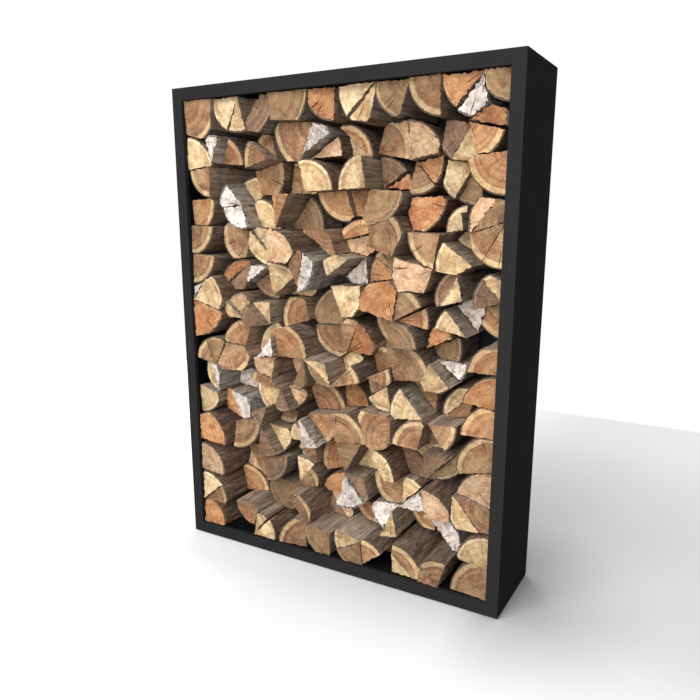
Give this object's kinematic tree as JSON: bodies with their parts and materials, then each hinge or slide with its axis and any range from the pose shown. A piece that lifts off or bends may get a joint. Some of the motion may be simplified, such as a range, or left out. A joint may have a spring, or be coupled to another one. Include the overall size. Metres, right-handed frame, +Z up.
{
  "type": "log store",
  "caption": "Tall open-fronted firewood store: a folded black steel surround on rubber pads, filled to the brim with split logs.",
  "frame": {"origin": "middle of the store's outline on the floor, under the pads", "axes": "+Z up; +Y from the open front to the back; +X to the right as seen from the front"},
  "size_m": [1.2, 0.305, 1.6],
  "materials": {
    "powder_coat": "charcoal black powder coat, fine matt texture",
    "liner_coat": "black powder coat, matt",
    "zinc_plate": "bright zinc plate",
    "rubber": "matt black",
    "oak_wood": "rough sawn ends, weathered split faces, brown bark",
    "beech_wood": "dull greyed sawn ends and weathered split faces",
    "pine_wood": "pale fresh sawn ends, torn fibres",
    "alder_wood": "orange-brown sawn ends, dark bark",
    "birch_wood": "white mottled ends with dark specks"
  },
  "bodies": {
    "root": {"casing_left": "powder_coat", "casing_right": "powder_coat", "casing_top": "powder_coat", "casing_bottom": "powder_coat", "front_gussets": "powder_coat", "rear_gussets": "powder_coat", "side_channels": "powder_coat", "top_channels": "powder_coat", "floor_bearers": "powder_coat", "back_panel": "powder_coat", "liner_left": "liner_coat", "liner_right": "liner_coat", "liner_top": "liner_coat", "liner_floor": "liner_coat", "rivet_nuts": "zinc_plate", "back_panel_screws": "zinc_plate", "floor_pads": "rubber", "oak_logs_tier_1": "oak_wood", "beech_logs_tier_1": "beech_wood", "pine_logs_tier_1": "pine_wood", "alder_logs_tier_1": "alder_wood", "birch_logs_tier_1": "birch_wood", "oak_logs_tier_2": "oak_wood", "beech_logs_tier_2": "beech_wood", "pine_logs_tier_2": "pine_wood", "alder_logs_tier_2": "alder_wood", "birch_logs_tier_2": "birch_wood", "oak_logs_tier_3": "oak_wood", "beech_logs_tier_3": "beech_wood", "pine_logs_tier_3": "pine_wood", "alder_logs_tier_3": "alder_wood", "birch_logs_tier_3": "birch_wood", "oak_logs_tier_4": "oak_wood", "beech_logs_tier_4": "beech_wood", "pine_logs_tier_4": "pine_wood", "alder_logs_tier_4": "alder_wood", "birch_logs_tier_4": "birch_wood", "oak_logs_tier_5": "oak_wood", "beech_logs_tier_5": "beech_wood", "pine_logs_tier_5": "pine_wood", "alder_logs_tier_5": "alder_wood", "birch_logs_tier_5": "birch_wood", "oak_logs_tier_6": "oak_wood", "beech_logs_tier_6": "beech_wood", "pine_logs_tier_6": "pine_wood", "alder_logs_tier_6": "alder_wood", "birch_logs_tier_6": "birch_wood", "oak_logs_tier_7": "oak_wood", "beech_logs_tier_7": "beech_wood", "pine_logs_tier_7": "pine_wood", "alder_logs_tier_7": "alder_wood", "birch_logs_tier_7": "birch_wood"}
  },
  "joints": []
}
